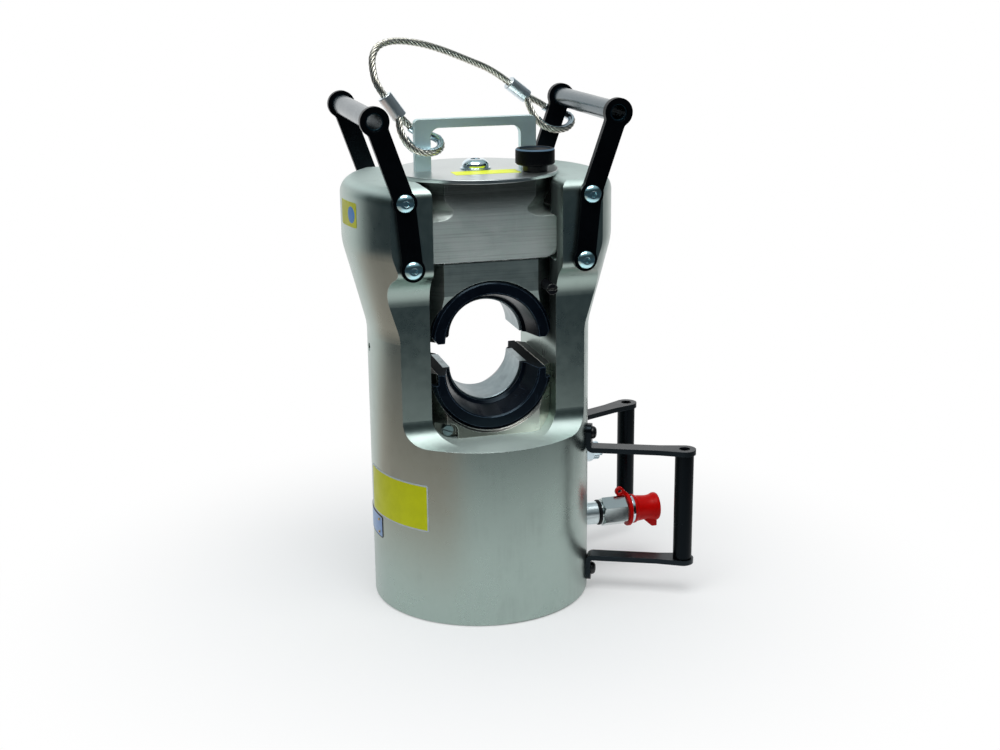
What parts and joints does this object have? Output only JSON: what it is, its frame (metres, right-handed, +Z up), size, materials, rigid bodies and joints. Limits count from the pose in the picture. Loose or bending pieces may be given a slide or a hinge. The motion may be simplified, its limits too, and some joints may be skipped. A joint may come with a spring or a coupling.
{
  "type": "hydraulic crimping head",
  "caption": "Barrel-shaped hydraulic crimping head with an open window, ring dies, breech-lock crosshead, carrying handles and a side quick coupler.",
  "frame": {"origin": "centre of the base face, on the barrel's axis", "axes": "+Z up along the ram, the window opens to -Y and +Y, the coupler and side handles are at +X"},
  "size_m": [0.3869, 0.256, 0.6477],
  "materials": {
    "body_steel": "satin blasted nickel grey",
    "machined_steel": "turned",
    "seal_rubber": "matte",
    "spring_steel": "oiled",
    "die_black": "semi-gloss black oxide",
    "die_steel": "turned bright",
    "zinc": "bright zinc",
    "nickel": "satin nickel",
    "black_screw": "black oxide",
    "handle_black": "semi-gloss black",
    "knob_black": "matte",
    "red_cap": "soft gloss",
    "rope_steel": "stranded stainless",
    "thimble_steel": "bright",
    "ferrule_aluminium": "bright pressed",
    "bail_aluminium": "satin",
    "wear_band": "matte"
  },
  "bodies": {
    "frame": {"frame_body": "body_steel", "base_plug": "machined_steel", "plug_ring": "seal_rubber", "rod_wiper": "seal_rubber", "return_spring": "spring_steel", "upper_die_holder": "body_steel", "upper_adapter": "die_black", "upper_insert": "die_steel", "thrust_washer": "zinc", "centre_bolt": "zinc", "bar_front_left": "handle_black", "bar_front_right": "handle_black", "bar_rear_left": "handle_black", "bar_rear_right": "handle_black", "upper_grip_left": "handle_black", "upper_grip_right": "handle_black", "bar_screws": "zinc", "side_upper_bracket_front": "handle_black", "side_upper_bracket_rear": "handle_black", "side_lower_bracket_front": "handle_black", "side_lower_bracket_rear": "handle_black", "side_grip_front": "handle_black", "side_grip_rear": "handle_black", "side_screws": "black_screw", "coupler_nipple": "zinc", "coupler_ring": "seal_rubber", "coupler_body": "nickel", "coupler_poppet": "nickel", "coupler_collar": "nickel", "tether_ring": "red_cap", "cap_strap": "red_cap", "relief_plug": "zinc", "column_screw": "black_screw", "lanyard_rope": "rope_steel", "lanyard_eye_right": "rope_steel", "thimble_right": "thimble_steel", "ferrule_right": "ferrule_aluminium"},
    "ram": {"ram_piston": "machined_steel", "piston_seal": "seal_rubber", "wear_ring": "wear_band", "lower_die_holder": "body_steel", "holder_bolts": "black_screw", "lower_adapter": "die_black", "lower_insert": "die_steel"},
    "lower_pin": {"lower_release_pin": "zinc"},
    "lower_lock": {"lower_lock_plunger": "machined_steel"},
    "upper_pin": {"upper_release_pin": "black_screw"},
    "upper_lock": {"upper_lock_plunger": "machined_steel"},
    "crosshead": {"crosshead": "body_steel", "cover_disc": "machined_steel", "disc_dowels": "machined_steel", "bail_handle": "bail_aluminium", "bail_screws": "black_screw", "knob_bush": "black_screw", "knob_spring": "spring_steel", "lanyard_eye_left": "rope_steel", "thimble_left": "thimble_steel", "ferrule_left": "ferrule_aluminium"},
    "knob": {"knob_plunger": "knob_black"},
    "cap": {"dust_cap": "red_cap"}
  },
  "joints": [
    {"name": "ram_slide", "type": "slide", "parent": "frame", "child": "ram", "axis": [0, 0, 1], "range_m": [0, 0.0332], "deforming": ["return_spring"]},
    {"name": "crosshead_turn", "type": "hinge", "parent": "frame", "child": "crosshead", "pos_m": [0, 0, 0.409], "axis": [0, 0, 1], "range_deg": [0, 90], "deforming": ["lanyard_rope"]},
    {"name": "knob_pull", "type": "slide", "parent": "crosshead", "child": "knob", "axis": [0, 0, 1], "range_m": [0, 0.008], "stiffness_N_per_m": 1500, "springref_m": -0.012, "deforming": ["knob_spring"]},
    {"name": "lower_pin_turn", "type": "hinge", "parent": "ram", "child": "lower_pin", "pos_m": [-0.0521, 0, 0.2165], "axis": [0, 1, 0], "range_deg": [0, 90]},
    {"name": "lower_lock_slide", "type": "slide", "parent": "ram", "child": "lower_lock", "axis": [-0.6133, 0, -0.7899], "range_m": [0, 0.0036]},
    {"name": "upper_pin_turn", "type": "hinge", "parent": "frame", "child": "upper_pin", "pos_m": [0.0645, 0, 0.3767], "axis": [0, 1, 0], "range_deg": [0, 90]},
    {"name": "upper_lock_slide", "type": "slide", "parent": "frame", "child": "upper_lock", "axis": [0.7328, 0, 0.6805], "range_m": [0, 0.0036]},
    {"name": "cap_pull", "type": "slide", "parent": "frame", "child": "cap", "axis": [1, 0, 0], "range_m": [0, 0.016], "deforming": ["cap_strap"]}
  ],
  "couplings": [
    {"joint": "lower_pin_turn", "follows": "lower_lock_slide", "rad_per_m": 436.33},
    {"joint": "upper_pin_turn", "follows": "upper_lock_slide", "rad_per_m": 436.33}
  ]
}
